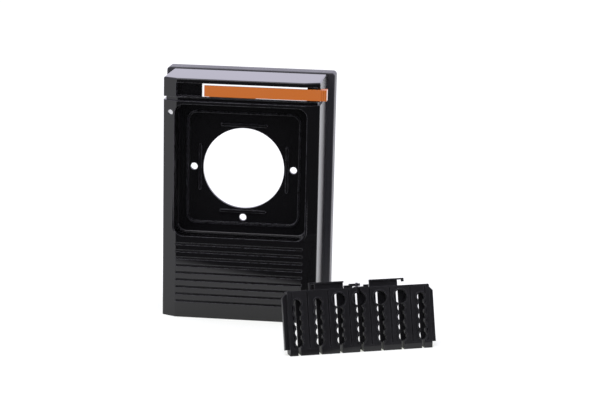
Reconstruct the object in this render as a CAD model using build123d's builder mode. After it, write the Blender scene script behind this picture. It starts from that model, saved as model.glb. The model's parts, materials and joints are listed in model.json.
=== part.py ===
# Moulded signal-head housing: a front cover with a square recess and a round lens aperture, a header cap with a
# slotted channel, an orange slide bar in that channel, a collar-like rear frame, and a two-part cable comb.
# Frame: origin on the aperture's axis, at the front face of the insert seat. +X right, +Y into the wall, +Z up.
from build123d import *
import math
import os

# ---- Driving dimensions, millimetres ----
# Shell
body_width = 93.2            # across the two side walls
body_depth = 40.3            # front plane to the rear frame's front face
cover_top = 42.2             # cover's top edge above the aperture's axis
body_bottom = -90.0          # lower rim, which the housing stands on
wall = 2.2                   # side, front and header walls
front_lean = 3.3             # how far the front falls back from the cover's top to its bottom
facet_width = 8.4            # slanted strip down each side of the front
facet_setback = 4.2          # how far that strip falls back at the side wall
edge_round = 1.0             # small round on the long outer edges

# Insert recess in the cover
seat_depth = 17.8            # front plane to the insert seat, which is the plane y = 0
seat_step = 1.8              # the seat lies this much deeper than the recess floor round it
recess_margin = 7.3          # side of the shell to the recess
recess_lintel = 1.9          # cover's top edge to the recess
recess_bottom = -39.7
recess_corner = 5.5
recess_floor_round = 1.0     # inside round where the recess walls meet its floor
recess_wall = 1.2            # side and end walls of the recess
floor_wall = 2.2             # recess floor and insert seat
seat_half = 33.2             # half width of the square seat
seat_corner = 5.0
bead_width = 1.0             # raised rim round the seat
bead_height = 0.6
aperture_radius = 24.4
insert_hole_radius = 2.1
insert_hole_pitch = 60.0     # left hole to right hole; the lower hole is on the same circle
rib_length = 28.0            # four stiffening ribs round the aperture
rib_width = 1.6
rib_height = 1.2
rib_offset = 26.2            # aperture's axis to a rib's centre line

# Grooved panel under the recess
groove_count = 9
groove_pitch = 4.4
groove_margin = 4.9          # recess to the topmost groove
groove_width = 1.3
groove_cut = 0.9

# Parting gap between header and cover
parting_gap = 2.0            # height of the shadow gap
gap_depth = 1.5              # how deep it is cut into the outer walls
lap_root = 4.0               # the lap starts this far below the cover's top edge

# Header channel and slide bar
header_lip = 0.8             # header's lower edge to the channel
header_roof = 2.6            # channel to the header's top face
channel_margin = 8.2         # left side of the shell to the channel
window_left = -23.5          # the channel is open right through from here
window_margin = 7.5          # to here, measured from the right side of the shell
channel_cut = 1.9            # depth of the channel's shallow right end
pocket_depth = 3.6           # depth of the closed pocket at the left
pocket_wall = 1.6
bar_left = -21.7
bar_height = 6.5
bar_plate = 1.5              # thickness of the bar's front plate
bar_gap = 0.5                # channel's lower lip to the plate
bar_headroom = 1.1           # plate to the channel's upper edge
bar_nose = 0.3               # chamfer on the plate's left end
grip_gap = 0.3               # shell's side wall to the grip
grip_length = 3.8            # ribbed end that stands out past the side wall
grip_depth = 5.9
grip_round = 0.4
grip_groove_count = 3
grip_groove_first = 0.85     # grip's left side to the first groove
grip_groove_pitch = 1.15
grip_groove = 0.5
foot_left = -19.0            # the foot behind the plate, which runs under the guide shelf
foot_right = 8.8
foot_gap = 0.15              # channel's lower lip to the foot
foot_height = 1.5
tongue_right = 6.6
tongue_gap = 0.5             # cover's lap to the tongue
tongue_thickness = 1.7       # hangs from the foot, behind the cover's lap
tongue_hold = 1.05           # how far the tongue reaches down behind the lap
shelf_height = 2.0
shelf_gap = 0.9              # foot to shelf, filled by the detent spring
shelf_left = -18.0
shelf_inset = 0.2            # channel's shallow floor to the shelf's front
shelf_overhang = 0.4         # shelf past the back of the foot
spring_thickness = 0.3
spring_width = 3.0
spring_length = 24.0
spring_inset = 1.5           # shelf's left end to the spring
spring_flat = 3.0            # flat end under the rivet
spring_clearance = 0.1       # crown of the spring to the foot
rivet_radius = 0.8
rivet_inset = 3.0            # shelf's left end to the rivet
rivet_foot_height = 0.25
rivet_foot_rim = 0.4
rivet_head_height = 0.4
rivet_head_rim = 0.5
seal_hole_radius = 1.6       # hole for a sealing wire in the left slanted strip
seal_hole_margin = 4.5       # left side of the shell to the hole
seal_hole_drop = 7.3         # cover's top edge to the hole

# Rear frame
frame_overhang = 4.6         # frame past the shell at each side
frame_top_overhang = 0.6     # and above the header
frame_depth = 12.0
frame_corner = 2.2
frame_hole_corner = 1.0
frame_edge_round = 0.7
frame_rim = 6.0              # height of the frame's top and bottom bars
tab_thickness = 3.0
cover_screw_inset = 2.8      # inside of the side wall to the cover's screws
cover_screw_heights = (8.0, -60.0)
cover_tab_height = 9.0
cover_tab_reach = 4.2        # screw to the tab's free end
wall_screw_inset = 5.4       # inside of the side wall to the wall screws
wall_screw_top_margin = 10.3
wall_screw_bottom_margin = 12.0
wall_hole_radius = 2.25
wall_tab_width = 10.4
wall_tab_height = 12.6
washer_radius = 4.2
washer_thickness = 1.2
gasket_width = 1.3
gasket_depth = 1.2
wall_gasket_width = 2.2
wall_gasket_inset = 3.2      # outer rim of the frame to the middle of its rear gasket
gasket_end = 2.0             # lower rim of the frame to the ends of the body gasket
gasket_corner = 1.0

# Screws and inserts
boss_radius = 3.6
insert_radius = 2.4
insert_length = 6.0
insert_ring = 2.2            # length of each knurled ring
insert_neck = 0.25           # depth of the plain neck between the two rings
bore_spare = 4.0             # bore past the end of its insert
screw_radius = 1.45
screw_head_radius = 2.8
screw_head_height = 2.0
screw_head_round = 0.6
screw_spare = 1.0            # shank past the end of its insert
socket_radius = 1.25         # hexagon socket in the screw's head
socket_depth = 1.2
thread_clearance = 0.05      # screw in insert, and insert in boss
shank_clearance = 0.2        # screw in a plain hole
header_boss_inset = 3.0      # inside of the side wall to the header's screws
header_boss_back = 7.5       # rear of the shell to the header's screws
header_boss_length = 10.2

# Cable comb
comb_pitch = 12.45
comb_height = 37.2
comb_depth = 5.4             # front face to the back of the fingers
comb_end = 5.6               # last chain to the end of the front web
comb_web = 2.0               # scalloped front wall
comb_core = 2.4              # wall between two chains
comb_cap = 2.0               # top wall
comb_tip = 5.0               # solid tip of each finger
comb_corner = 0.6            # chamfer on the two outer top corners
comb_run = 3.0               # fingers run this far below the ground before they are cut off level
end_tongue_width = 2.6       # tongue that stands out from each end of the comb
end_tongue_front = 1.4       # front face to the tongue
end_tongue_depth = 2.4
end_tongue_low = 3.8
end_tongue_drop = 1.6        # comb's top to the tongue's top
end_tongue_corner = 2.2
big_hole_radius = 3.9
big_hole_height = 30.7       # only the four middle chains end in a big hole
small_hole_radius = 2.35
small_hole_count = 5
hole_step = 5.53             # between neighbouring holes of a chain
lowest_hole = 7.8            # tip to the lowest hole's centre
slit_width = 3.0             # between the cusps of one chain
tip_slit_width = 1.6         # between two fingertips
centre_slit_width = 2.2
rim_width = 0.8
rim_height = 0.5
finger_groove_width = 1.0
finger_groove_cut = 0.6
finger_groove_end = 1.0      # finger groove to the top and to the bevel
foot_bevel_height = 3.3
foot_bevel_cut = 1.04
seal_thickness = 0.8
seal_slit = 1.3
rail_gap = 0.6               # stop tooth to the near end of each top rail
rail_web_length = 17.0
rail_lip_length = 20.6
rail_height = 4.2
rail_web = 1.2
rail_lip = 2.6               # depth of the lip along the rail's top
rail_lip_thickness = 0.9
rail_hook = 0.9
tooth_width = 2.9            # raised stop beside the hinge
tooth_height = 1.6
tooth_depth = 1.5
pin_radius = 0.8
pin_clearance = 0.06
knuckle_radius = 2.0
knuckle_height = 1.5
knuckle_gap = 0.3
knuckle_end_gap = 0.24
pin_overhang = 0.5
arm_reach = 3.4              # middle gap to the far side of each hinge arm
arm_depth = 2.6
arm_foot = 1.5               # width of the arm where it stands on the top wall
arm_sink = 0.4
comb_centre = (80.7, -70.2)  # middle of the comb's front face where it stands on the ground
comb_yaw = 24.2              # comb against the housing's front
comb_lean = 16.0             # the comb leans back on its bevelled tips

# ---- Planes and heights that follow from them ----
front_y = -seat_depth
back_y = front_y + body_depth
wall_y = back_y + frame_depth
half_width = body_width / 2
inner_half = half_width - wall
frame_half = half_width + frame_overhang
recess_half = half_width - recess_margin
recess_top = cover_top - recess_lintel
recess_floor_y = -seat_step
groove_first = recess_bottom - groove_margin
groove_half_length = half_width - facet_width
header_bottom = cover_top + parting_gap
channel_bottom = header_bottom + header_lip
bar_bottom = channel_bottom + bar_gap
channel_top = bar_bottom + bar_height + bar_headroom
body_top = channel_top + header_roof
frame_top = body_top + frame_top_overhang
channel_left = channel_margin - half_width
channel_floor_y = front_y + channel_cut
window_right = half_width - window_margin
grip_left = half_width + grip_gap
bar_right = grip_left + grip_length
foot_bottom = channel_bottom + foot_gap
foot_top = foot_bottom + foot_height
tongue_front = front_y + gap_depth + wall + tongue_gap
foot_back = tongue_front + tongue_thickness
shelf_bottom = foot_top + shelf_gap
spring_y = (channel_floor_y + shelf_inset + foot_back + shelf_overhang) / 2
rivet_x = shelf_left + rivet_inset
seal_hole_x = seal_hole_margin - half_width
seal_hole_z = cover_top - seal_hole_drop
cover_screw_x = inner_half - cover_screw_inset
wall_screw_x = inner_half - wall_screw_inset
wall_screw_heights = (frame_top - wall_screw_top_margin, body_bottom + wall_screw_bottom_margin)
header_boss_x = inner_half - header_boss_inset
header_boss_y = back_y - header_boss_back
header_boss_bottom = header_bottom - header_boss_length
insert_bore = insert_radius + thread_clearance
thread_radius = screw_radius + thread_clearance
lean_rate = front_lean / (cover_top - body_bottom)
weld = 0.5                   # overlap where two shapes are joined into one piece
past = 1.0                   # a cutting shape starts and ends this far outside

UPWARD, FORWARD = (0, 0, 1), (0, -1, 0)

os.makedirs("parts", exist_ok=True)


def save(piece, label):
    """Label a finished part and write it as parts/label.step."""
    piece.part.label = label
    export_step(piece.part, f"parts/{label}.step")


def shell_outline(front, inset=0.0, back=back_y):
    """Plan outline of the shell: a flat front with a slanted strip at each side, open corners at the back."""
    side = half_width - inset
    flat = half_width - facet_width - inset * math.tan(math.atan2(facet_setback, facet_width) / 2)
    drop = facet_setback * (side - flat) / facet_width
    y = front + inset
    with BuildLine() as outline:
        Polyline((-flat, y), (flat, y), (side, y + drop), (side, back), (-side, back), (-side, y + drop), close=True)
    return outline.line


def shell_section(height, front, inset=0.0, back=back_y):
    """The same outline as a face at one height."""
    with BuildSketch(Plane.XY.offset(height)) as section:
        add(shell_outline(front, inset, back))
        make_face()
    return section.sketch


def front_at(height):
    """Where the cover's leaning front plane lies at a height."""
    return front_y + lean_rate * (cover_top - height)


def rounded_box(half_x, low, high, corner, y, depth):
    """Rounded rectangle across the front, pushed back by depth from the plane at y."""
    plane = Plane(origin=(0, y, (low + high) / 2), x_dir=(1, 0, 0), z_dir=FORWARD)
    with BuildPart() as box:
        with BuildSketch(plane):
            RectangleRounded(2 * half_x, high - low, corner)
        extrude(amount=-depth)
    return box.part


def bored(x, y, z, radius, length, direction=(0, 1, 0)):
    """A plain cylinder that starts at a point and runs along a direction."""
    with BuildPart() as pin:
        with BuildSketch(Plane(origin=(x, y, z), z_dir=direction)):
            Circle(radius)
        extrude(amount=length)
    return pin.part


# ---- Front cover ----
recess_outer = recess_half + recess_wall
with BuildPart() as front_cover:
    loft(sections=[shell_section(body_bottom, front_at(body_bottom)), shell_section(cover_top, front_y)], ruled=True)
    fillet(front_cover.edges().filter_by(lambda e: e.length > 100 and e.center().Y < back_y - past), edge_round)
    # hollow from behind, open at the bottom for the cables and at the top towards the header
    loft(
        sections=[
            shell_section(body_bottom - past, front_at(body_bottom - past), wall, back_y + past),
            shell_section(cover_top + past, front_at(cover_top + past), wall, back_y + past),
        ],
        ruled=True,
        mode=Mode.SUBTRACT,
    )
    # lap that carries the header, stepped back by the depth of the shadow gap
    with BuildSketch(Plane.XY.offset(cover_top - lap_root)):
        add(shell_outline(front_y, gap_depth))
        make_face()
        with BuildSketch(Plane.XY.offset(cover_top - lap_root), mode=Mode.SUBTRACT):
            add(shell_outline(front_y, gap_depth + wall, back_y + past))
            make_face()
    extrude(amount=parting_gap + lap_root)
    # box of the recess, its floor and the deeper seat
    recess_start = front_at(recess_bottom) + weld
    add(rounded_box(recess_outer, recess_bottom - recess_wall, recess_top + recess_wall,
                    recess_corner + recess_wall, recess_start, recess_floor_y + floor_wall - recess_start))
    add(rounded_box(seat_half + floor_wall, -seat_half - floor_wall, seat_half + floor_wall,
                    seat_corner + floor_wall, recess_floor_y, seat_step + floor_wall))
    with BuildPart(mode=Mode.SUBTRACT):
        add(rounded_box(recess_half, recess_bottom, recess_top, recess_corner, front_y - past,
                        recess_floor_y - front_y + past))
        fillet(faces().sort_by(Axis.Y)[-1].edges(), recess_floor_round)
    add(rounded_box(seat_half + bead_width, -seat_half - bead_width, seat_half + bead_width,
                    seat_corner + bead_width, recess_floor_y - bead_height, bead_height))
    add(rounded_box(seat_half, -seat_half, seat_half, seat_corner, recess_floor_y - bead_height,
                    seat_step + bead_height), mode=Mode.SUBTRACT)
    # ribs round the aperture
    for angle in range(0, 360, 90):
        with BuildSketch(Plane.XZ):
            with Locations(Rot(0, 0, angle) * Pos(0, rib_offset)):
                SlotOverall(rib_length, rib_width)
        extrude(amount=rib_height)
    # aperture and the three insert holes
    seat_plane = Plane(origin=(0, -rib_height - past, 0), x_dir=(1, 0, 0), z_dir=(0, -1, 0))
    with BuildSketch(seat_plane):
        Circle(aperture_radius)
        with Locations((-insert_hole_pitch / 2, 0), (insert_hole_pitch / 2, 0), (0, -insert_hole_pitch / 2)):
            Circle(insert_hole_radius)
    extrude(amount=-(rib_height + floor_wall + 2 * past), mode=Mode.SUBTRACT)
    # bosses for the frame's screws, each with a bore for its insert
    for side in (-1, 1):
        for height in cover_screw_heights:
            boss_start = recess_floor_y if height > recess_bottom else front_at(height) + facet_setback
            add(bored(side * cover_screw_x, boss_start, height, boss_radius, back_y - boss_start))
            add(bored(side * cover_screw_x, back_y - insert_length - bore_spare, height, insert_bore,
                      insert_length + bore_spare), mode=Mode.SUBTRACT)
        add(bored(side * header_boss_x, header_boss_y, header_boss_bottom, boss_radius, header_boss_length, UPWARD))
        add(bored(side * header_boss_x, header_boss_y, header_boss_bottom, screw_radius + shank_clearance,
                  header_boss_length, UPWARD), mode=Mode.SUBTRACT)
    # sealing-wire hole in the left slanted strip
    add(bored(seal_hole_x, front_y, seal_hole_z, seal_hole_radius, facet_setback + wall + past), mode=Mode.SUBTRACT)
    # grooves across the lower panel
    for index in range(groove_count):
        height = groove_first - index * groove_pitch
        with BuildSketch(Plane.YZ.offset(-groove_half_length)):
            with Locations((front_at(height), height)):
                Ellipse(groove_cut, groove_width / 2)
        extrude(amount=2 * groove_half_length, mode=Mode.SUBTRACT)
save(front_cover, "front_cover")


# ---- Header cap ----
def block(x_range, y_range, z_range):
    """A plain box between two corners."""
    with BuildPart() as box:
        with BuildSketch(Plane.XY.offset(z_range[0])):
            with Locations(((x_range[0] + x_range[1]) / 2, (y_range[0] + y_range[1]) / 2)):
                Rectangle(x_range[1] - x_range[0], y_range[1] - y_range[0])
        extrude(amount=z_range[1] - z_range[0])
    return box.part


with BuildPart() as header_cap:
    with BuildSketch(Plane.XY.offset(header_bottom)):
        add(shell_outline(front_y))
        make_face()
    extrude(amount=body_top - header_bottom)
    upright = header_cap.edges().filter_by(Axis.Z).filter_by(lambda e: e.center().Y < back_y - past)
    fillet(upright, edge_round)
    side_rims = header_cap.faces().sort_by(Axis.Z)[-1].edges().filter_by(Axis.Y)
    fillet(side_rims, edge_round)
    with BuildSketch(Plane.XY.offset(header_bottom - past)):
        add(shell_outline(front_y, wall, back_y + past))
        make_face()
    extrude(amount=channel_top - header_bottom + past, mode=Mode.SUBTRACT)
    # closed pocket at the left of the channel and guide block at its right
    add(block((channel_left - pocket_wall, window_left), (front_y + wall - weld, front_y + pocket_depth + pocket_wall),
              (header_bottom, channel_top)))
    add(block((window_right, inner_half + weld), (front_y + wall - weld, foot_back), (header_bottom, channel_top)))
    add(block((channel_left, window_left + past), (front_y - past, front_y + pocket_depth), (channel_bottom, channel_top)),
        mode=Mode.SUBTRACT)
    add(block((window_left, window_right), (front_y - past, front_y + wall + past), (channel_bottom, channel_top)),
        mode=Mode.SUBTRACT)
    add(block((window_right - past, half_width + past), (front_y - past, channel_floor_y), (channel_bottom, channel_top)),
        mode=Mode.SUBTRACT)
    # shelf that keeps the bar's foot down
    add(block((shelf_left, window_right + weld), (channel_floor_y + shelf_inset, foot_back + shelf_overhang),
              (shelf_bottom, shelf_bottom + shelf_height)))
    add(bored(rivet_x, spring_y, shelf_bottom - past, rivet_radius + thread_clearance, shelf_height + 2 * past, UPWARD),
        mode=Mode.SUBTRACT)
    for side in (-1, 1):
        add(bored(side * header_boss_x, header_boss_y, header_bottom, boss_radius, channel_top - header_bottom + weld,
                  UPWARD))
        add(bored(side * header_boss_x, header_boss_y, header_bottom, insert_bore, insert_length + screw_spare, UPWARD),
            mode=Mode.SUBTRACT)
save(header_cap, "header_cap")


# ---- Slide bar, its leaf spring and the spring's rivet ----
with BuildPart() as slide_bar:
    with BuildSketch(Plane.XY.offset(bar_bottom)):
        with BuildLine():
            Polyline(
                (bar_left, front_y), (bar_right, front_y), (bar_right, front_y + grip_depth),
                (grip_left, front_y + grip_depth), (grip_left, front_y + bar_plate), (bar_left, front_y + bar_plate),
                close=True,
            )
        make_face()
    extrude(amount=bar_height)
    fillet(slide_bar.edges().filter_by(Axis.Z).filter_by(lambda e: e.center().X > grip_left + past), grip_round)
    chamfer(slide_bar.edges().filter_by(Axis.Z).sort_by(Axis.X)[0:1], bar_nose)
    # vertical grip grooves
    for index in range(grip_groove_count):
        groove_x = grip_left + grip_groove_first + index * grip_groove_pitch
        with BuildSketch(Plane.XY.offset(bar_bottom)):
            with Locations((groove_x, front_y)):
                Circle(grip_groove / 2)
        extrude(amount=bar_height, mode=Mode.SUBTRACT)
    # foot that runs under the shelf, and the tongue that hangs behind the cover's lap
    add(block((foot_left, foot_right), (front_y + bar_plate - weld, foot_back), (foot_bottom, foot_top)))
    add(block((foot_left, tongue_right), (tongue_front, foot_back), (header_bottom - tongue_hold, foot_bottom + weld)))
save(slide_bar, "slide_bar")

spring_start = shelf_left + spring_inset
spring_sag = shelf_gap - spring_thickness - spring_clearance
with BuildPart() as detent_spring:
    with BuildSketch(Plane(origin=(0, spring_y + spring_width / 2, 0), x_dir=(1, 0, 0), z_dir=FORWARD)):
        with BuildLine():
            rise = shelf_bottom - spring_thickness
            flat_end = spring_start + spring_flat
            middle = (flat_end + spring_start + spring_length) / 2
            far = spring_start + spring_length
            Line((spring_start, shelf_bottom), (flat_end, shelf_bottom))
            ThreePointArc((flat_end, shelf_bottom), (middle, shelf_bottom - spring_sag), (far, shelf_bottom))
            Line((far, shelf_bottom), (far, rise))
            ThreePointArc((far, rise), (middle, rise - spring_sag), (flat_end, rise))
            Line((flat_end, rise), (spring_start, rise))
            Line((spring_start, rise), (spring_start, shelf_bottom))
        make_face()
    extrude(amount=spring_width)
    add(bored(rivet_x, spring_y, shelf_bottom - past, rivet_radius + thread_clearance, 2 * past, UPWARD),
        mode=Mode.SUBTRACT)
save(detent_spring, "detent_spring")

with BuildPart() as spring_rivet:
    rivet_foot = shelf_bottom - spring_thickness - rivet_foot_height
    rivet_length = shelf_height + spring_thickness + rivet_foot_height + rivet_head_height
    add(bored(rivet_x, spring_y, rivet_foot, rivet_radius + rivet_foot_rim, rivet_foot_height, UPWARD))
    add(bored(rivet_x, spring_y, rivet_foot, rivet_radius, rivet_length, UPWARD))
    add(bored(rivet_x, spring_y, shelf_bottom + shelf_height, rivet_radius + rivet_head_rim, rivet_head_height, UPWARD))
save(spring_rivet, "spring_rivet")


# ---- Rear frame, its seals and washers ----
def frame_ring(half_x, low, high, corner, y, depth, hole_half, hole_low, hole_high, hole_corner):
    """A rounded rectangular ring across the front."""
    middle = (low + high) / 2
    hole_middle = (hole_low + hole_high) / 2 - middle
    with BuildPart() as ring:
        with BuildSketch(Plane(origin=(0, y, middle), x_dir=(1, 0, 0), z_dir=FORWARD)):
            RectangleRounded(2 * half_x, high - low, corner)
            with Locations((0, hole_middle)):
                RectangleRounded(2 * hole_half, hole_high - hole_low, hole_corner, mode=Mode.SUBTRACT)
        extrude(amount=-depth)
    return ring.part


gasket_middle = wall / 2
gasket_outer = half_width - gasket_middle + gasket_width / 2
gasket_inner = gasket_outer - gasket_width
gasket_top = body_top - gasket_middle + gasket_width / 2
below_frame = body_bottom - frame_rim
body_seal = frame_ring(gasket_outer, below_frame, gasket_top, gasket_corner, back_y, gasket_depth, gasket_inner,
                       below_frame + gasket_width, gasket_top - gasket_width, gasket_corner / 4)
body_seal = body_seal & block((-frame_half, frame_half), (back_y - past, wall_y), (body_bottom + gasket_end, frame_top))
rim_outer = frame_half - wall_gasket_inset + wall_gasket_width / 2
rim_inner = rim_outer - wall_gasket_width
wall_seal = frame_ring(rim_outer, body_bottom + frame_half - rim_outer, frame_top - frame_half + rim_outer,
                       2 * gasket_corner, wall_y - gasket_depth, gasket_depth, rim_inner,
                       body_bottom + frame_half - rim_inner, frame_top - frame_half + rim_inner, gasket_corner)

with BuildPart() as rear_frame:
    add(frame_ring(frame_half, body_bottom, frame_top, frame_corner, back_y, frame_depth, inner_half,
                   body_bottom + frame_rim, frame_top - frame_rim, frame_hole_corner))
    outer_rims = rear_frame.edges().filter_by(lambda e: e.bounding_box().size.Y < frame_edge_round)
    outer_rims = outer_rims.filter_by(lambda e: max(abs(e.center().X) - frame_half, body_bottom - e.center().Z,
                                                    e.center().Z - frame_top) > -frame_corner)
    fillet(outer_rims, frame_edge_round)
    for side in (-1, 1):
        near = side * (inner_half + weld)
        for height in cover_screw_heights:
            reach = side * (cover_screw_x - cover_tab_reach)
            add(block(sorted((near, reach)), (back_y, back_y + tab_thickness),
                      (height - cover_tab_height / 2, height + cover_tab_height / 2)))
            add(bored(side * cover_screw_x, back_y - past, height, screw_radius + shank_clearance,
                      tab_thickness + 2 * past), mode=Mode.SUBTRACT)
        for height in wall_screw_heights:
            reach = side * (wall_screw_x - wall_tab_width / 2)
            add(block(sorted((near, reach)), (wall_y - tab_thickness, wall_y),
                      (height - wall_tab_height / 2, height + wall_tab_height / 2)))
            add(bored(side * wall_screw_x, wall_y - tab_thickness - past, height, wall_hole_radius,
                      tab_thickness + 2 * past), mode=Mode.SUBTRACT)
    add(body_seal, mode=Mode.SUBTRACT)
    add(wall_seal, mode=Mode.SUBTRACT)
save(rear_frame, "rear_frame")

with BuildPart() as body_gasket:
    add(body_seal)
save(body_gasket, "body_gasket")

with BuildPart() as wall_gasket:
    add(wall_seal)
save(wall_gasket, "wall_gasket")

washer_y = wall_y - tab_thickness - washer_thickness
with BuildPart() as wall_washers:
    for side in (-1, 1):
        for height in wall_screw_heights:
            add(bored(side * wall_screw_x, washer_y, height, washer_radius, washer_thickness))
            add(bored(side * wall_screw_x, washer_y - past, height, wall_hole_radius, washer_thickness + 2 * past),
                mode=Mode.SUBTRACT)
save(wall_washers, "wall_washers")


# ---- Screws and inserts ----
def screw(head, direction, shank_length):
    """Pan-head screw: head seat point, direction its shank runs, and shank length."""
    away = tuple(-part for part in direction)
    with BuildPart() as piece:
        add(bored(*head, screw_radius, shank_length, direction))
        add(bored(*head, screw_head_radius, screw_head_height, away))
        fillet(piece.edges().filter_by(GeomType.CIRCLE).sort_by(Axis(head, away))[-1:], screw_head_round)
        with BuildSketch(Plane(origin=head, z_dir=away).offset(screw_head_height)):
            RegularPolygon(socket_radius, 6)
        extrude(amount=-socket_depth, mode=Mode.SUBTRACT)
    return piece.part


def insert(mouth, direction):
    """Knurled brass insert with a plain threaded bore; the knurl is two rings of the full radius."""
    with BuildPart() as piece:
        add(bored(*mouth, insert_radius - insert_neck, insert_length, direction))
        add(bored(*mouth, insert_radius, insert_ring, direction))
        far = tuple(m + d * (insert_length - insert_ring) for m, d in zip(mouth, direction))
        add(bored(*far, insert_radius, insert_ring, direction))
        add(bored(*mouth, thread_radius, insert_length, direction), mode=Mode.SUBTRACT)
    return piece.part


with BuildPart() as cover_screws:
    for side in (-1, 1):
        for height in cover_screw_heights:
            add(screw((side * cover_screw_x, back_y + tab_thickness, height), FORWARD,
                      tab_thickness + insert_length + screw_spare))
save(cover_screws, "cover_screws")

with BuildPart() as cover_inserts:
    for side in (-1, 1):
        for height in cover_screw_heights:
            add(insert((side * cover_screw_x, back_y, height), FORWARD))
save(cover_inserts, "cover_inserts")

with BuildPart() as header_screws:
    for side in (-1, 1):
        add(screw((side * header_boss_x, header_boss_y, header_boss_bottom), UPWARD, header_boss_length + insert_length))
save(header_screws, "header_screws")

with BuildPart() as header_inserts:
    for side in (-1, 1):
        add(insert((side * header_boss_x, header_boss_y, header_bottom), UPWARD))
save(header_inserts, "header_inserts")

# ---- Cable comb ----
comb_half_length = 3 * comb_pitch + comb_end
yaw, lean = math.radians(comb_yaw), math.radians(comb_lean)
along = Vector(math.cos(yaw), math.sin(yaw), 0)
facing = Vector(math.cos(lean) * math.sin(yaw), -math.cos(lean) * math.cos(yaw), math.sin(lean))
upward = facing.cross(along)
comb_origin = Vector(*comb_centre, body_bottom)
hinge_depth = comb_depth - knuckle_radius
hinge_point = comb_origin - facing * hinge_depth
comb_plane = Plane(origin=comb_origin, x_dir=along, z_dir=facing)
comb_box = 2 * comb_half_length
below_ground = block((comb_centre[0] - comb_box, comb_centre[0] + comb_box),
                     (comb_centre[1] - comb_box, comb_centre[1] + comb_box), (body_bottom - comb_box, body_bottom))
small_holes = [lowest_hole + step * hole_step for step in range(small_hole_count)]
knuckle_step = knuckle_height + knuckle_gap
knuckle_base = comb_height - comb_cap - knuckle_height / 2
arm_end = centre_slit_width / 2 + arm_reach
rail_start = arm_end + tooth_width + rail_gap


def chain(centre, grow=0.0, slit=slit_width):
    """Scalloped chain of cable holes round a finger gap, as sketch objects on the current plane."""
    big = round(abs(centre) / comb_pitch) < 2 or centre == 2 * comb_pitch
    heights = small_holes[:-1] if big else small_holes
    with Locations(*[(centre, height) for height in heights]):
        Circle(small_hole_radius + grow)
    if big:
        with Locations((centre, big_hole_height)):
            Circle(big_hole_radius + grow)
    with Locations((centre, (lowest_hole + heights[-1]) / 2)):
        Rectangle(slit + 2 * grow, heights[-1] - lowest_hole)


def comb_outline(side, gap):
    """Front outline of one half, from its edge at the middle gap to its chamfered outer corner."""
    with BuildLine() as outline:
        Polyline(
            (side * gap, -comb_run), (side * comb_half_length, -comb_run),
            (side * comb_half_length, comb_height - comb_corner),
            (side * (comb_half_length - comb_corner), comb_height), (side * gap, comb_height), close=True,
        )
    return outline.line


def knuckles(plane, side, radius, grow=0.0):
    """Hinge knuckles of one half: two on the left half and one between them on the right half."""
    found = []
    for slot in ((0, 2) if side < 0 else (1,)):
        base = knuckle_base + slot * knuckle_step - grow
        barrel_plane = Plane(origin=plane.from_local_coords((0, base, -hinge_depth)), x_dir=plane.x_dir, z_dir=plane.y_dir)
        with BuildPart() as barrel:
            with BuildSketch(barrel_plane):
                Circle(radius)
            extrude(amount=knuckle_height + 2 * grow)
        found.append(barrel.part)
    return found


def knuckle_arms(plane, side):
    """Short arms from the knuckles back to the half's own top wall."""
    found = []
    for slot in ((0, 2) if side < 0 else (1,)):
        base = knuckle_base + slot * knuckle_step
        low = min(base, comb_height - arm_sink)
        with BuildPart() as arm:
            with BuildSketch(plane.offset(-hinge_depth + arm_depth / 2)):
                with Locations((side * arm_end / 2, base + knuckle_height / 2)):
                    Rectangle(arm_end, knuckle_height)
                with Locations((side * (arm_end - arm_foot / 2), (low + base + knuckle_height) / 2)):
                    Rectangle(arm_foot, base + knuckle_height - low)
            extrude(amount=-arm_depth)
        found.append(arm.part)
    return found


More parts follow.
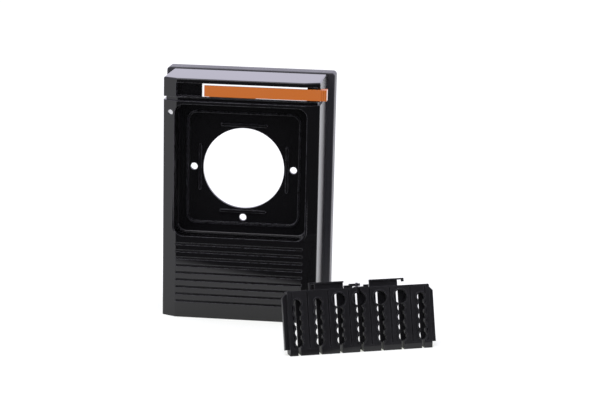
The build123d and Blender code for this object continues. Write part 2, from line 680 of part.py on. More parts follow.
def comb_half(plane, side):
    """One half of the comb: scalloped front web, solid fingertips, cores between the chains and a top wall."""
    chains = [side * index * comb_pitch for index in range(4)]
    with BuildPart() as half:
        with BuildSketch(plane):
            add(comb_outline(side, centre_slit_width / 2))
            make_face()
        extrude(amount=-comb_depth)
        # cavities behind the front web
        with BuildSketch(plane.offset(-comb_web)):
            for centre in chains:
                with Locations((centre, (comb_tip + comb_height - comb_cap) / 2)):
                    Rectangle(comb_pitch - comb_core, comb_height - comb_cap - comb_tip)
        extrude(amount=comb_web - comb_depth, mode=Mode.SUBTRACT)
        # raised rims, then the holes themselves
        with BuildSketch(plane):
            for centre in chains:
                chain(centre, rim_width)
            with Locations((side * (comb_half_length + centre_slit_width / 2) / 2, comb_height / 2)):
                Rectangle(comb_half_length - centre_slit_width / 2, comb_height, mode=Mode.INTERSECT)
        extrude(amount=rim_height)
        with BuildSketch(plane.offset(rim_height)):
            for centre in chains:
                chain(centre)
        extrude(amount=-(rim_height + comb_web), mode=Mode.SUBTRACT)
        with BuildSketch(plane.offset(rim_height)):
            for centre in chains[1:]:
                with Locations((centre, (lowest_hole - comb_run) / 2)):
                    Rectangle(tip_slit_width, lowest_hole + comb_run)
        extrude(amount=-(comb_depth + rim_height), mode=Mode.SUBTRACT)
        # groove down the middle of each finger, and the bevel along the tips
        with BuildSketch(plane):
            for index in range(4):
                end = comb_pitch if index < 3 else comb_end
                with Locations((side * (index * comb_pitch + end / 2), (foot_bevel_height + comb_height) / 2)):
                    Rectangle(finger_groove_width, comb_height - foot_bevel_height - 2 * finger_groove_end)
        extrude(amount=-finger_groove_cut, mode=Mode.SUBTRACT)
        bevel_plane = Plane(origin=plane.origin, x_dir=-plane.z_dir, z_dir=plane.x_dir)
        with BuildSketch(bevel_plane.offset(-comb_half_length - past)):
            with BuildLine():
                Polyline((-past, -past), (foot_bevel_cut, -past), (0, foot_bevel_height), (-past, foot_bevel_height),
                         close=True)
            make_face()
        extrude(amount=2 * (comb_half_length + past), mode=Mode.SUBTRACT)
        # tongue on the outer end, with a cut-off outer top corner
        inner = side * (comb_half_length - weld)
        outer = side * (comb_half_length + end_tongue_width)
        tongue_top = comb_height - end_tongue_drop
        with BuildSketch(plane.offset(-end_tongue_front)):
            with BuildLine():
                Polyline(
                    (inner, end_tongue_low), (outer, end_tongue_low), (outer, tongue_top - end_tongue_corner),
                    (outer - side * end_tongue_corner, tongue_top), (inner, tongue_top), close=True,
                )
            make_face()
        extrude(amount=-end_tongue_depth)
        # stop tooth on the rear top edge
        with BuildSketch(plane.offset(-comb_depth + tooth_depth)):
            with Locations((side * (arm_end + tooth_width / 2), comb_height + (tooth_height - weld) / 2)):
                Rectangle(tooth_width, tooth_height + weld)
        extrude(amount=-tooth_depth)
        # hinge: clear the other half's knuckles, then add this half's own
        for barrel in knuckles(plane, -side, knuckle_radius + knuckle_gap, knuckle_end_gap):
            add(barrel, mode=Mode.SUBTRACT)
        for arm in knuckle_arms(plane, side):
            add(arm)
        for barrel in knuckles(plane, side, knuckle_radius):
            add(barrel)
        pin_base = plane.from_local_coords((0, knuckle_base - comb_cap, -hinge_depth))
        add(bored(*pin_base, pin_radius + pin_clearance, 3 * knuckle_step + 2 * comb_cap, plane.y_dir), mode=Mode.SUBTRACT)
        add(below_ground, mode=Mode.SUBTRACT)
    return half


comb_left = comb_half(comb_plane, -1)
save(comb_left, "comb_left")
comb_right = comb_half(comb_plane, 1)
save(comb_right, "comb_right")

with BuildPart() as comb_hinge_pin:
    pin_foot = comb_plane.from_local_coords((0, knuckle_base - pin_overhang, -hinge_depth))
    add(bored(*pin_foot, pin_radius, 3 * knuckle_step - knuckle_gap + 2 * pin_overhang, comb_plane.y_dir))
save(comb_hinge_pin, "comb_hinge_pin")


def comb_seal(plane, side):
    """Slit rubber diaphragm on the back of one half."""
    with BuildPart() as seal:
        with BuildSketch(plane.offset(-comb_depth)):
            add(comb_outline(side, seal_slit / 2))
            make_face()
            for index in range(1, 4):
                with Locations((side * index * comb_pitch, (big_hole_height + big_hole_radius - comb_run) / 2)):
                    Rectangle(seal_slit, big_hole_height + big_hole_radius + comb_run, mode=Mode.SUBTRACT)
        extrude(amount=-seal_thickness)
        add(below_ground, mode=Mode.SUBTRACT)
    return seal


comb_seal_left = comb_seal(comb_plane, -1)
save(comb_seal_left, "comb_seal_left")
comb_seal_right = comb_seal(comb_plane, 1)
save(comb_seal_right, "comb_seal_right")


def comb_rail(plane, side, closed):
    """Rail on top of one half: an upright web, a lip that overhangs its outer end, and a hook or closed eye."""
    lip_low = comb_height + rail_height - rail_lip_thickness
    web_end, lip_end = rail_start + rail_web_length, rail_start + rail_lip_length
    with BuildPart() as rail:
        with BuildSketch(plane.offset(-comb_depth + rail_web)):
            with Locations((side * (rail_start + web_end) / 2, comb_height + rail_height / 2)):
                Rectangle(rail_web_length, rail_height)
        extrude(amount=-rail_web)
        with BuildSketch(plane.offset(-comb_depth + rail_lip)):
            with Locations((side * (rail_start + lip_end) / 2, lip_low + rail_lip_thickness / 2)):
                Rectangle(rail_lip_length, rail_lip_thickness)
            drop = rail_height if closed else rail_height / 2
            with Locations((side * (lip_end - rail_hook / 2), comb_height + rail_height - drop / 2)):
                Rectangle(rail_hook, drop)
        extrude(amount=-rail_lip)
    return rail


comb_rail_left = comb_rail(comb_plane, -1, True)
save(comb_rail_left, "comb_rail_left")
comb_rail_right = comb_rail(comb_plane, 1, False)
save(comb_rail_right, "comb_rail_right")

print("hinge point", hinge_point, "axis", upward, "centre", comb_origin)
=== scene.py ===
# %% [markdown]
# # A moulded signal-head housing and its cable comb
# The object looks like injection-moulded plastic: a polished black cover and cap, a satin frame behind them,
# an orange slide bar and a charcoal comb. The rubber behind the comb's holes and everything inside the
# housing are assumed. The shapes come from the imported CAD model, which stays where it is. This file gives
# every piece its finish, and makes the turned screws and inserts, whose detail is too fine for the CAD model.

# %% Load the fixed frame
import json
import math
import bmesh
import bpy
from mathutils import Matrix, Vector


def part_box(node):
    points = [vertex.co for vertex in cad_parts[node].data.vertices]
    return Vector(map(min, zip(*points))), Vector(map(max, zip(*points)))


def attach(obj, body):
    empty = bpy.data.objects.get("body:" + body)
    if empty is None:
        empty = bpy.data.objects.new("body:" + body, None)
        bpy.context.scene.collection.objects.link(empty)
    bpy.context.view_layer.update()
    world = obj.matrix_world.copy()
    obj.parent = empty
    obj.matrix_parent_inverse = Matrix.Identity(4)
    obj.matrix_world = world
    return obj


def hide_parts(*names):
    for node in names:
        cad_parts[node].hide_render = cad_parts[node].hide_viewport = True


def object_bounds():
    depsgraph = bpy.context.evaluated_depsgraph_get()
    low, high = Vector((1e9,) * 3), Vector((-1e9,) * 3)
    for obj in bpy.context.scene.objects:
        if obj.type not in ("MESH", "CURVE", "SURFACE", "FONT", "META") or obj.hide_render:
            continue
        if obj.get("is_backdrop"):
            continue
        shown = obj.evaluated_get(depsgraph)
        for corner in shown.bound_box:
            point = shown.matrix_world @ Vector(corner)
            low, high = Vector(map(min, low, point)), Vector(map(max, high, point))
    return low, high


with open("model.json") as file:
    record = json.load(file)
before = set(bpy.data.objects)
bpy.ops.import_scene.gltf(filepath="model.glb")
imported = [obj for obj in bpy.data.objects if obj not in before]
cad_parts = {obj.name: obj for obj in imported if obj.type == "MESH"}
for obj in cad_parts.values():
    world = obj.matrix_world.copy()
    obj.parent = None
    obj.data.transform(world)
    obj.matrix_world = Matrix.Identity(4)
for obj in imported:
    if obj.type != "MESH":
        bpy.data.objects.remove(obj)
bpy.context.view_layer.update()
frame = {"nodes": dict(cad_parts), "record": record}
nodes = frame["nodes"]
MM = 0.001

# %% [markdown]
# ## Where things stand
# The turned pieces, the floor and the point that the camera looks at are placed from the CAD boxes, so they
# follow when a size changes. The cards and the lamp further down are placed at given points. The lower rim of
# the cover stands on the floor, and the camera looks at the plane of the cap's front.

# %% Measure the frame
floor_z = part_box("front_cover")[0].z
front_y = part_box("header_cap")[0].y
print("floor at", round(floor_z / MM, 1), "mm, front at", round(front_y / MM, 1), "mm")

# %% [markdown]
# ## The camera
# A long lens 1.28 m away keeps the sides of the housing almost parallel. The object sits off the middle of
# the picture, so the camera first looks at the middle of the aperture and is then panned, tilted and rolled
# by small angles.

# %% Camera
CAMERA_AZIMUTH, CAMERA_ELEVATION = math.radians(8.290), math.radians(11.313)
CAMERA_DISTANCE = 1.2831
CAMERA_PAN, CAMERA_TILT, CAMERA_ROLL = (math.radians(a) for a in (-1.619, -0.921, -1.013))
CAMERA_LENS, CAMERA_SENSOR = 130.22, 36.0
aim = Vector((0, front_y, 0))
outward = Vector((
    math.sin(CAMERA_AZIMUTH) * math.cos(CAMERA_ELEVATION),
    -math.cos(CAMERA_AZIMUTH) * math.cos(CAMERA_ELEVATION),
    math.sin(CAMERA_ELEVATION),
))
back = outward
right = (-back).cross(Vector((0, 0, 1))).normalized()
up = right.cross(-back)
turn = Matrix.Rotation(CAMERA_PAN, 3, up)
back, right = turn @ back, turn @ right
turn = Matrix.Rotation(CAMERA_TILT, 3, right)
back, up = turn @ back, turn @ up
turn = Matrix.Rotation(CAMERA_ROLL, 3, -back)
right, up = turn @ right, turn @ up

camera = bpy.data.objects.new("camera", bpy.data.cameras.new("camera"))
camera.data.lens = CAMERA_LENS
camera.data.sensor_width = CAMERA_SENSOR
place = Matrix((right, up, back)).transposed().to_4x4()
place.translation = aim + CAMERA_DISTANCE * outward
camera.matrix_world = place
bpy.context.scene.collection.objects.link(camera)
bpy.context.scene.camera = camera
print("camera", [round(c, 3) for c in place.translation])

# %% [markdown]
# ## Node helpers
# A material is a small graph. A few helpers keep each one readable: one makes a node and sets its inputs,
# one starts a material, one starts a group with named sockets, and the rest give back the output of a common
# node.


# %% Helpers for node graphs
def node(tree, kind, values=(), **settings):
    """Adds a node, sets its properties, then its inputs by name or number; a socket as a value is linked."""
    made = tree.nodes.new(kind)
    for name, value in settings.items():
        setattr(made, name, value)
    for name, value in dict(values).items():
        if isinstance(value, bpy.types.NodeSocket):
            tree.links.new(value, made.inputs[name])
        else:
            made.inputs[name].default_value = value
    return made


def finish_material(name):
    """A new material, with its tree and its Principled shader."""
    made = bpy.data.materials.new(name)
    made.use_nodes = True
    return made, made.node_tree, made.node_tree.nodes["Principled BSDF"]


def new_group(name, inputs, outputs):
    """A shader group with number inputs and typed outputs: its tree, what it is given and what it gives."""
    made = bpy.data.node_groups.new(name, "ShaderNodeTree")
    for label, value in inputs.items():
        socket = made.interface.new_socket(label, in_out="INPUT", socket_type="NodeSocketFloat")
        socket.default_value = value
    for label, kind in outputs.items():
        made.interface.new_socket(label, in_out="OUTPUT", socket_type=kind)
    return made, made.nodes.new("NodeGroupInput").outputs, made.nodes.new("NodeGroupOutput").inputs


# %% Helpers for common nodes
def maths(tree, operation, *values, clamp=False):
    """The result of a Math node on numbers and sockets."""
    inputs = dict(enumerate(values))
    return node(tree, "ShaderNodeMath", inputs, operation=operation, use_clamp=clamp).outputs[0]


def ramp(tree, value, low, high, to_low=0.0, to_high=1.0):
    """A value that runs from to_low to to_high as the given one runs from low to high."""
    limits = {"From Min": low, "From Max": high, "To Min": to_low, "To Max": to_high}
    return node(tree, "ShaderNodeMapRange", {"Value": value, **limits}).outputs[0]


def noise(tree, place, scale, detail, roughness=0.5):
    """Grey noise; scale is roughly its ripples per metre."""
    look = {"Scale": scale, "Detail": detail, "Roughness": roughness}
    return node(tree, "ShaderNodeTexNoise", {"Vector": place, **look}).outputs["Fac"]


def mixed(tree, share, first, second):
    """A colour between two, each given as (red, green, blue) or as a socket."""
    first, second = (c if isinstance(c, bpy.types.NodeSocket) else (*c, 1) for c in (first, second))
    return node(tree, "ShaderNodeMix", {"Factor": share, 6: first, 7: second}, data_type="RGBA").outputs[2]


def object_place(tree):
    """Where a point lies on its object."""
    return node(tree, "ShaderNodeTexCoord").outputs["Object"]


def true_normal(tree):
    """The direction that a face looks in."""
    return node(tree, "ShaderNodeNewGeometry").outputs["Normal"]


# %% [markdown]
# ## Moulded grain
# A steel mould is polished or eroded, and the plastic copies it. Noise at two scales stands for a fine grain
# and a slow waviness. A third, separate noise makes patches of different polish. One group serves every
# plastic, with its own amounts.

# %% Group: grain
NUMBER, VECTOR = "NodeSocketFloat", "NodeSocketVector"
grain, taken, given = new_group("moulded_grain", {"Fine": 1400.0, "Slow": 60.0, "Slow share": 0.5},
                                {"Height": NUMBER, "Patchiness": NUMBER})
place_in = object_place(grain)
fine = noise(grain, place_in, taken["Fine"], 3.0)
slow = noise(grain, place_in, taken["Slow"], 2.0)
both = node(grain, "ShaderNodeMix", {"Factor": taken["Slow share"], 2: fine, 3: slow})
grain.links.new(both.outputs[0], given["Height"])
grain.links.new(noise(grain, place_in, 34.0, 5.0, 0.62), given["Patchiness"])
print("group", grain.name)

# %% [markdown]
# ## Rounded, handled edges
# No moulded edge is perfectly sharp, and handling polishes and scuffs it first. The Bevel node finds edges by
# looking round each point, so it works on CAD triangles that aren't joined. Where its normal turns away from
# the true one there is an edge, and noise breaks the wear up. The rounded normal is handed on as well.

# %% Group: edges
BEVEL_RAYS = 6
edges, taken, given = new_group("handled_edges", {"Radius": 0.0003, "Wear radius": 0.0006},
                                {"Normal": VECTOR, "Wear": NUMBER})
rounded = node(edges, "ShaderNodeBevel", {"Radius": taken["Radius"]}, samples=BEVEL_RAYS)
wide = node(edges, "ShaderNodeBevel", {"Radius": taken["Wear radius"]}, samples=BEVEL_RAYS)
along = node(edges, "ShaderNodeVectorMath", {0: wide.outputs["Normal"], 1: true_normal(edges)},
             operation="DOT_PRODUCT")
turned = ramp(edges, along.outputs["Value"], 0.97, 0.75)
patches = ramp(edges, noise(edges, object_place(edges), 420.0, 4.0), 0.34, 0.58)
edges.links.new(rounded.outputs["Normal"], given["Normal"])
edges.links.new(maths(edges, "MULTIPLY", turned, patches), given["Wear"])
print("group", edges.name)

# %% [markdown]
# ## Dust and hairlines
# Dust settles on faces that look up and fades on steep ones. Hairlines are what a cloth leaves on a polished
# face: noise stretched far in one direction, cut so that only its peaks show. Both are masks.

# %% Group: dust
dust, taken, given = new_group("settled_dust", {"Amount": 0.3}, {"Mask": NUMBER})
facing = node(dust, "ShaderNodeSeparateXYZ", {0: true_normal(dust)})
lying = ramp(dust, facing.outputs["Z"], 0.35, 1.0)
specks = ramp(dust, noise(dust, object_place(dust), 900.0, 6.0, 0.7), 0.5, 0.72)
settled = maths(dust, "MULTIPLY", lying, specks)
dust.links.new(maths(dust, "MULTIPLY", settled, taken["Amount"]), given["Mask"])
print("group", dust.name)

# %% Group: hairlines
STRETCH = (1.0, 14.0, 60.0)
hairlines, taken, given = new_group("cloth_hairlines", {"Scale": 26.0, "Turn": 0.5}, {"Mask": NUMBER})
swung = node(hairlines, "ShaderNodeVectorRotate", {"Vector": object_place(hairlines), "Angle": taken["Turn"]},
             rotation_type="Y_AXIS")
stretched = node(hairlines, "ShaderNodeMapping", {"Vector": swung.outputs[0], "Scale": STRETCH})
lines = noise(hairlines, stretched.outputs[0], taken["Scale"], 5.0, 0.75)
hairlines.links.new(ramp(hairlines, lines, 0.6, 0.78), given["Mask"])
print("group", hairlines.name)

# %% [markdown]
# ## Side walls
# The front and the top of the cover look polished and the side walls look paler. A mask of the faces that
# look sideways gives them a rougher finish and a matt coat, so that they read light at a grazing angle. Both
# values are matched to how the object looks. They aren't measured properties of the plastic.

# %% Group: side walls
sides, taken, given = new_group("side_walls", {"Start": 0.9}, {"Mask": NUMBER})
facing = node(sides, "ShaderNodeSeparateXYZ", {0: true_normal(sides)})
sideways = maths(sides, "ABSOLUTE", facing.outputs["X"])
sides.links.new(ramp(sides, sideways, taken["Start"], 0.98), given["Mask"])
print("group", sides.name)

# %% [markdown]
# ## One recipe for the plastics
# The housing, the bar, the comb and the rubber share one recipe. They differ in colour, in polish and in how
# coarse their grain is, so one function builds the graph and each finish gives it its own values. A worn edge
# is lighter than the face and a little rougher. Lengths are in metres.


# %% Recipe: moulded plastic
DUST_COLOUR = (0.42, 0.40, 0.37)
WEAR_ROUGHENS = 0.25
COAT_IOR = 1.6


def moulded_plastic(name, colour, worn_colour, polish, polish_range, grain_depth, fine, slow, slow_share,
                    edge=0.0003, wear=0.5, dust_amount=0.15, hairline=0.0, side_polish=0.0):
    """A moulded finish: polish is its roughness, give or take polish_range; side walls add side_polish."""
    made, tree, shader = finish_material(name)
    amounts = {"Fine": fine, "Slow": slow, "Slow share": slow_share}
    surface = node(tree, "ShaderNodeGroup", amounts, node_tree=grain)
    rim = node(tree, "ShaderNodeGroup", {"Radius": edge, "Wear radius": 2 * edge}, node_tree=edges)
    lying_dust = node(tree, "ShaderNodeGroup", {"Amount": dust_amount}, node_tree=dust)
    marks = node(tree, "ShaderNodeGroup", node_tree=hairlines)
    walls = node(tree, "ShaderNodeGroup", node_tree=sides)
    worn = maths(tree, "MULTIPLY", rim.outputs["Wear"], wear)
    paled = mixed(tree, worn, colour, worn_colour)
    dusty = mixed(tree, lying_dust.outputs["Mask"], paled, DUST_COLOUR)
    smoothest, roughest = polish - polish_range, polish + polish_range
    polished = ramp(tree, surface.outputs["Patchiness"], 0.3, 0.7, smoothest, roughest)
    marked = maths(tree, "MULTIPLY_ADD", marks.outputs["Mask"], hairline, polished)
    matted = maths(tree, "MULTIPLY_ADD", walls.outputs["Mask"], side_polish, marked)
    scuffed = maths(tree, "MULTIPLY_ADD", worn, WEAR_ROUGHENS, matted, clamp=True)
    relief = node(tree, "ShaderNodeBump", {"Height": surface.outputs["Height"], "Distance": grain_depth,
                                           "Normal": rim.outputs["Normal"]})
    tree.links.new(dusty, shader.inputs["Base Color"])
    tree.links.new(scuffed, shader.inputs["Roughness"])
    tree.links.new(relief.outputs[0], shader.inputs["Normal"])
    if side_polish:
        shader.inputs["Coat Roughness"].default_value = side_polish
        shader.inputs["Coat IOR"].default_value = COAT_IOR
        tree.links.new(walls.outputs["Mask"], shader.inputs["Coat Weight"])
    return made


# %% Finishes of the housing
gloss_black = moulded_plastic(
    "polished_black", (0.0055, 0.0055, 0.0057), (0.085, 0.085, 0.095),
    polish=0.05, polish_range=0.02, grain_depth=0.000003, fine=900, slow=70, slow_share=0.6,
    edge=0.0005, wear=0.5, dust_amount=0.01, hairline=0.04, side_polish=0.32,
)
gloss_black.node_tree.nodes["Principled BSDF"].inputs["IOR"].default_value = 1.46
satin_black = moulded_plastic(
    "satin_black", (0.027, 0.027, 0.031), (0.06, 0.06, 0.07),
    polish=0.40, polish_range=0.05, grain_depth=0.000012, fine=1500, slow=90, slow_share=0.2,
    wear=0.5, dust_amount=0.03,
)
print("housing:", gloss_black.name, satin_black.name)

# %% Finishes of the bar, the comb and the seals
orange = moulded_plastic(
    "satin_orange", (0.45, 0.110, 0.004), (0.56, 0.20, 0.06),
    polish=0.36, polish_range=0.06, grain_depth=0.000008, fine=1300, slow=60, slow_share=0.3,
    edge=0.0002, wear=0.45, dust_amount=0.03, hairline=0.12, side_polish=0.08,
)
charcoal = moulded_plastic(
    "charcoal_grain", (0.0062, 0.0062, 0.0066), (0.07, 0.07, 0.075),
    polish=0.40, polish_range=0.07, grain_depth=0.00002, fine=1500, slow=120, slow_share=0.25,
    edge=0.0002, wear=0.6, dust_amount=0.06,
)
rubber = moulded_plastic(
    "seal_rubber", (0.012, 0.012, 0.0125), (0.05, 0.05, 0.05),
    polish=0.72, polish_range=0.08, grain_depth=0.00002, fine=2000, slow=200, slow_share=0.3,
    edge=0.0002, wear=0.3, dust_amount=0.12,
)
print("other plastics:", orange.name, charcoal.name, rubber.name)

# %% [markdown]
# ## Metals
# The screws are steel with a bright zinc coat, the spring is rolled steel, and the inserts and the rivet are
# turned brass. All three share one recipe: fine tool lines, and patches that are duller and rougher.


# %% Recipe: bare metal
METAL_EDGE = 0.00012
DULL_ROUGHENS, LINES_ROUGHEN = 0.18, 0.12


def bare_metal(name, colour, dull_colour, polish, lines_scale, grain_depth):
    """A metal with tool lines along it and duller patches."""
    made, tree, shader = finish_material(name)
    shader.inputs["Metallic"].default_value = 1.0
    surface = node(tree, "ShaderNodeGroup", node_tree=grain)
    marks = node(tree, "ShaderNodeGroup", {"Scale": lines_scale}, node_tree=hairlines)
    rim = node(tree, "ShaderNodeGroup", {"Radius": METAL_EDGE}, node_tree=edges)
    dulled = ramp(tree, surface.outputs["Patchiness"], 0.42, 0.66)
    rough = maths(tree, "MULTIPLY_ADD", dulled, DULL_ROUGHENS, polish)
    scored = maths(tree, "MULTIPLY_ADD", marks.outputs["Mask"], LINES_ROUGHEN, rough)
    relief = node(tree, "ShaderNodeBump", {"Height": marks.outputs["Mask"], "Distance": grain_depth,
                                           "Normal": rim.outputs["Normal"]})
    tree.links.new(mixed(tree, dulled, colour, dull_colour), shader.inputs["Base Color"])
    tree.links.new(scored, shader.inputs["Roughness"])
    tree.links.new(relief.outputs[0], shader.inputs["Normal"])
    return made


# %% Finishes of the metals
zinc = bare_metal("zinc_steel", (0.62, 0.63, 0.66), (0.42, 0.42, 0.42),
                  polish=0.24, lines_scale=60, grain_depth=0.000006)
spring_steel = bare_metal("rolled_steel", (0.50, 0.50, 0.52), (0.34, 0.33, 0.32),
                          polish=0.3, lines_scale=90, grain_depth=0.00001)
brass = bare_metal("turned_brass", (0.74, 0.52, 0.22), (0.46, 0.29, 0.12),
                   polish=0.28, lines_scale=120, grain_depth=0.00001)
print("metals:", zinc.name, spring_steel.name, brass.name)

# %% [markdown]
# ## Giving the CAD pieces their finishes
# The record lists a material slot for each piece. One table from slot to finish is enough, and a piece that
# is added to the CAD model later gets its finish by itself, if its slot is in the table.

# %% Assign finishes
FINISHES = {
    "gloss_black": gloss_black, "frame_black": satin_black, "orange": orange, "comb_plastic": charcoal,
    "seal_rubber": rubber, "zinc_steel": zinc, "spring_steel": spring_steel, "brass": brass,
}
for part in frame["record"]["subparts"]:
    mesh = nodes[part["node"]].data
    mesh.materials.clear()
    mesh.materials.append(FINISHES[part["material_slot"]])

# %% [markdown]
# ## Turned pieces
# Screws and threaded inserts are turned, so one half outline spun about an axis makes each of them. The
# outline is a chain of vertices, the spin closes on itself, and doubles on the axis are merged. The finished
# shape is then laid along its real direction and copied to each place, all in one mesh, as the CAD node is.


# %% Helpers for turned pieces
TURNS = 48
SHARP_FROM = math.radians(38)


def spun(outline, closed=False):
    """A bmesh turned about Z from (radius, height) points in millimetres."""
    shape = bmesh.new()
    chain = [shape.verts.new((radius * MM, 0, height * MM)) for radius, height in outline]
    links = [shape.edges.new(pair) for pair in zip(chain, chain[1:])]
    if closed:
        links.append(shape.edges.new((chain[-1], chain[0])))
    bmesh.ops.spin(shape, geom=chain + links, cent=(0, 0, 0), axis=(0, 0, 1), angle=2 * math.pi,
                   steps=TURNS, use_merge=True)
    bmesh.ops.remove_doubles(shape, verts=shape.verts, dist=0.001 * MM)
    return shape


def radius_and_turn(vert):
    """How far a vertex is from the Z axis, and its angle about it."""
    return math.hypot(vert.co.x, vert.co.y), math.atan2(vert.co.y, vert.co.x)


def place_copies(shape, name, places, direction, body, slot, finish, *replaced):
    """Copies a shape made along +Z to each place along a direction, as one finished object."""
    bmesh.ops.recalc_face_normals(shape, faces=shape.faces)
    aim_it = Vector((0, 0, 1)).rotation_difference(Vector(direction)).to_matrix()
    first_verts = shape.verts[:]
    first = first_verts + shape.edges[:] + shape.faces[:]
    for spot in places:
        made = bmesh.ops.duplicate(shape, geom=first)["geom"]
        copy_verts = [part for part in made if isinstance(part, bmesh.types.BMVert)]
        bmesh.ops.rotate(shape, verts=copy_verts, cent=(0, 0, 0), matrix=aim_it)
        bmesh.ops.translate(shape, verts=copy_verts, vec=spot)
    bmesh.ops.delete(shape, geom=first_verts, context="VERTS")
    mesh = bpy.data.meshes.new(name)
    shape.to_mesh(mesh)
    shape.free()
    mesh.materials.append(finish)
    mesh.set_sharp_from_angle(angle=SHARP_FROM)
    made = bpy.data.objects.new(name, mesh)
    bpy.context.scene.collection.objects.link(made)
    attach(made, body)
    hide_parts(*replaced)
    print(name, len(places), "copies,", len(mesh.polygons), "faces")
    return made


# %% [markdown]
# ## Screws
# A pan-head screw has a low domed head with a hexagon socket, a short fillet under it and a rolled thread.
# The thread is drawn as rings one pitch apart, which stay closed where a true helix wouldn't. The socket
# starts as the open round top of the spin. Its rim is pushed down and filled, and its vertices are moved on
# to a hexagon. All sizes are in millimetres.

# %% Screws
SCREW_RADIUS, SCREW_CORE, SCREW_PITCH = 1.45, 1.2, 0.5
SCREW_CREST, SCREW_FLANK, SCREW_TAPER = 0.12, 0.2, 0.3
HEAD_RADIUS, HEAD_HEIGHT, HEAD_DOME, HEAD_FILLET = 2.8, 2.0, 0.9, 0.15
SOCKET_RADIUS, SOCKET_DEPTH = 1.25, 1.2
DOME_STEPS = 6


def pan_head_screw(shank):
    """A screw along +Z, its head's seat at the origin and its shank upwards."""
    tip = SCREW_PITCH
    outline = [(0, shank), (SCREW_CORE - SCREW_TAPER, shank), (SCREW_CORE, shank - tip / 2)]
    rings = int((shank - 2 * SCREW_PITCH) / SCREW_PITCH)
    for ring in range(rings):
        crest = shank - tip - ring * SCREW_PITCH
        outline += [(SCREW_RADIUS, crest), (SCREW_RADIUS, crest - SCREW_CREST)]
        outline.append((SCREW_CORE, crest - SCREW_CREST - SCREW_FLANK))
    outline += [(SCREW_RADIUS, 2 * HEAD_FILLET), (SCREW_RADIUS + HEAD_FILLET, 0)]
    outline += [(HEAD_RADIUS - HEAD_FILLET, 0), (HEAD_RADIUS, -HEAD_FILLET)]
    for step in range(DOME_STEPS + 1):
        bend = math.radians(90 / DOME_STEPS * step)
        across = HEAD_RADIUS - HEAD_DOME * (1 - math.cos(bend))
        outline.append((across, -HEAD_HEIGHT + HEAD_DOME * (1 - math.sin(bend))))
    outline.append((SOCKET_RADIUS, -HEAD_HEIGHT))
    shape = spun(outline)
    rim = [edge for edge in shape.edges if edge.is_boundary]
    pushed = bmesh.ops.extrude_edge_only(shape, edges=rim)["geom"]
    deep = [part for part in pushed if isinstance(part, bmesh.types.BMVert)]
    bmesh.ops.translate(shape, verts=deep, vec=(0, 0, SOCKET_DEPTH * MM))
    bmesh.ops.edgeloop_fill(shape, edges=[edge for edge in shape.edges if edge.is_boundary])
    sixth = math.radians(60)
    for vert in shape.verts:
        radius, turn = radius_and_turn(vert)
        if abs(radius - SOCKET_RADIUS * MM) < 0.01 * MM and vert.co.z < 0:
            flat = SOCKET_RADIUS * math.cos(sixth / 2) / math.cos(turn % sixth - sixth / 2)
            vert.co.x *= flat / SOCKET_RADIUS
            vert.co.y *= flat / SOCKET_RADIUS
    return shape


# %% Place the screws
low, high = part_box("cover_screws")
radius = HEAD_RADIUS * MM
cover_places = [(x, high.y - HEAD_HEIGHT * MM, z) for x in (low.x + radius, high.x - radius)
                for z in (low.z + radius, high.z - radius)]
cover_shank = (high.y - low.y) / MM - HEAD_HEIGHT
place_copies(pan_head_screw(cover_shank), "cover_screws_threaded", cover_places, (0, -1, 0), "housing",
             "zinc_steel", zinc, "cover_screws")
low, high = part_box("header_screws")
header_places = [(x, (low.y + high.y) / 2, low.z + HEAD_HEIGHT * MM)
                 for x in (low.x + radius, high.x - radius)]
header_shank = (high.z - low.z) / MM - HEAD_HEIGHT
place_copies(pan_head_screw(header_shank), "header_screws_threaded", header_places, (0, 0, 1), "housing",
             "zinc_steel", zinc, "header_screws")

# %% [markdown]
# ## Inserts
# A brass insert has two knurled bands with a plain neck between them, which the hot plastic flows into and
# grips. The outline is a closed loop, so the spin makes a ring with its bore. The knurl comes from pulling
# every second column of the bands' vertices inwards, which leaves straight teeth of one column each.

# %% Inserts
INSERT_RADIUS, INSERT_BORE, INSERT_NECK, INSERT_BAND, INSERT_SLOPE = 2.4, 1.5, 0.25, 2.2, 0.2
KNURL_CUT, THREAD_CUT = 0.12, 0.12


def knurled_insert(length):
    """An insert along +Z with its mouth at the origin."""
    band, slope = INSERT_BAND, INSERT_SLOPE
    neck = INSERT_RADIUS - INSERT_NECK
    outline = [(INSERT_BORE + slope, 0)]
    for start in (0, length - band):
        outline += [(neck, start), (INSERT_RADIUS, start + slope)]
        outline += [(INSERT_RADIUS, start + band - slope), (neck, start + band)]
    outline += [(INSERT_BORE + slope, length), (INSERT_BORE, length - slope)]
    turns_of_thread = int((length - 3 * slope) / SCREW_PITCH)
    for ring in range(turns_of_thread):
        crest = length - 2 * slope - ring * SCREW_PITCH
        outline += [(INSERT_BORE, crest), (INSERT_BORE + THREAD_CUT, crest - SCREW_PITCH / 2)]
    outline.append((INSERT_BORE, slope))
    shape = spun(outline, closed=True)
    for vert in shape.verts:
        radius, turn = radius_and_turn(vert)
        column = round(turn / (2 * math.pi / TURNS))
        if radius > (INSERT_RADIUS - 0.01) * MM and column % 2:
            vert.co.x *= 1 - KNURL_CUT / INSERT_RADIUS
            vert.co.y *= 1 - KNURL_CUT / INSERT_RADIUS
    return shape


# %% Place the inserts
low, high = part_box("cover_inserts")
radius = INSERT_RADIUS * MM
places = [(x, high.y, z) for x in (low.x + radius, high.x - radius)
          for z in (low.z + radius, high.z - radius)]
place_copies(knurled_insert((high.y - low.y) / MM), "cover_inserts_knurled", places, (0, -1, 0), "housing",
             "brass", brass, "cover_inserts")
low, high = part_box("header_inserts")
places = [(x, (low.y + high.y) / 2, low.z) for x in (low.x + radius, high.x - radius)]
place_copies(knurled_insert((high.z - low.z) / MM), "header_inserts_knurled", places, (0, 0, 1), "housing",
             "brass", brass, "header_inserts")

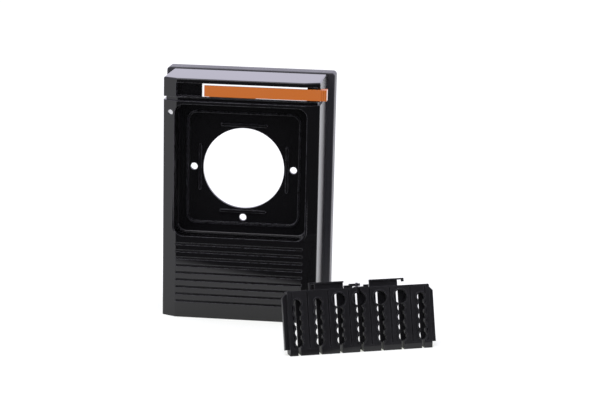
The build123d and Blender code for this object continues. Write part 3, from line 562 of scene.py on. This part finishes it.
# %% [markdown]
# ## The surround and the floor
# The stage is a wide white floor in a pale surround, so a glossy black object shows white where it mirrors
# the surround. The surround is the world's own colour. The floor also glows a little, which keeps it white
# under the object.

# %% World
SURROUND = (0.86, 0.835, 0.985, 1)
SURROUND_STRENGTH = 1.35
world = bpy.data.worlds.new("studio")
bpy.context.scene.world = world
world.use_nodes = True
world.node_tree.nodes["Background"].inputs["Color"].default_value = SURROUND
world.node_tree.nodes["Background"].inputs["Strength"].default_value = SURROUND_STRENGTH
bpy.context.scene.view_settings.view_transform = "Standard"
print("world", world.name)


# %% Helper for stage pieces
def stage_sheet(name, width, depth, middle, facing_up, material):
    """A flat stage piece, not part of the object: width along X, depth along Y or up Z."""
    shape = bmesh.new()
    bmesh.ops.create_grid(shape, x_segments=1, y_segments=1, size=0.5)
    bmesh.ops.scale(shape, verts=shape.verts, vec=(width, depth, 1))
    if not facing_up:
        upright = Matrix.Rotation(math.radians(90), 3, "X")
        bmesh.ops.rotate(shape, verts=shape.verts, cent=(0, 0, 0), matrix=upright)
    bmesh.ops.translate(shape, verts=shape.verts, vec=middle)
    mesh = bpy.data.meshes.new(name)
    shape.to_mesh(mesh)
    shape.free()
    mesh.materials.append(material)
    made = bpy.data.objects.new(name, mesh)
    bpy.context.scene.collection.objects.link(made)
    made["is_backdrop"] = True
    return made


# %% Floor
floor_white, _, shader = finish_material("floor_white")
shader.inputs["Base Color"].default_value = (0.52, 0.52, 0.53, 1)
shader.inputs["Roughness"].default_value = 0.9
shader.inputs["Specular IOR Level"].default_value = 0.0
shader.inputs["Emission Color"].default_value = (0.97, 1, 0.86, 1)
shader.inputs["Emission Strength"].default_value = 0.48
floor = stage_sheet("floor", 12, 12, (0, 0, floor_z), True, floor_white)
print("floor", [round(side, 1) for side in floor.dimensions])

# %% [markdown]
# ## Cards
# Cards are sheets that only mirror rays can see. A dark one lies in front of the object and another stands at
# its far end. The near edge of the lying one fades in over a centimetre and a half, along a slanted line. A
# small bright card lies behind the object and is mirrored inside the small sealing hole.

# %% Card materials
CARD_NEAR, CARD_FADE, CARD_SLANT = -0.1055, 0.015, 0.45
card_black, tree, shader = finish_material("card_black")
shader.inputs["Base Color"].default_value = (0, 0, 0, 1)
shader.inputs["Roughness"].default_value = 1.0
shader.inputs["Specular IOR Level"].default_value = 0.0
where = node(tree, "ShaderNodeSeparateXYZ", {0: object_place(tree)})
slanted = maths(tree, "MULTIPLY_ADD", where.outputs["X"], -CARD_SLANT, where.outputs["Y"])
fade = ramp(tree, slanted, CARD_NEAR + CARD_FADE / 2, CARD_NEAR - CARD_FADE / 2)
tree.links.new(fade, shader.inputs["Alpha"])
card_white, _, shader = finish_material("card_white")
shader.inputs["Emission Color"].default_value = (1, 1, 1, 1)
shader.inputs["Emission Strength"].default_value = 2.5
print("cards:", card_black.name, card_white.name)

# %% Cards
CARD_WIDTH, CARD_LEFT, CARD_DEPTH, CARD_HEIGHT = 3.6, -0.34, 1.5, 1.8
CARD_LIFT = 0.0004
card_x = CARD_LEFT + CARD_WIDTH / 2
lying_place = (card_x, -0.83, floor_z + CARD_LIFT)
standing_place = (card_x, -1.55, floor_z + CARD_HEIGHT / 2)
bright_place = (0.047, 0.62, floor_z + CARD_LIFT)
cards = (
    stage_sheet("dark_floor_card", CARD_WIDTH, CARD_DEPTH, lying_place, True, card_black),
    stage_sheet("dark_wall_card", CARD_WIDTH, CARD_HEIGHT, standing_place, False, card_black),
    stage_sheet("bright_floor_card", 0.09, 0.22, bright_place, True, card_white),
)
for card in cards:
    card.visible_camera = False
    card.visible_diffuse = False
    card.visible_shadow = False
    card.visible_transmission = False
print("cards:", [card.name for card in cards])

# %% [markdown]
# ## The lamp
# One large soft lamp hangs above the object, to its left and in front of it, and gives the shadows a
# direction.

# %% Lamp
KEY_PLACE = (-0.35, -0.35, 1.1)
key = bpy.data.objects.new("softbox", bpy.data.lights.new("softbox", "AREA"))
key.data.shape = "RECTANGLE"
key.data.size = 0.9
key.data.size_y = 0.6
key.data.energy = 6.0
swing = Matrix.Rotation(math.radians(-20), 4, "Y")
tilt = Matrix.Rotation(math.radians(18), 4, "X")
key.matrix_world = Matrix.Translation(KEY_PLACE) @ swing @ tilt
bpy.context.scene.collection.objects.link(key)
print("lamp", key.name, key.data.energy, "W")

# %% [markdown]
# ## Sizes
# The size of the finished object is printed, without the stage pieces.

# %% Print the size
low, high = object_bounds()
print("size", [round((b - a) / MM, 1) for a, b in zip(low, high)], "mm")
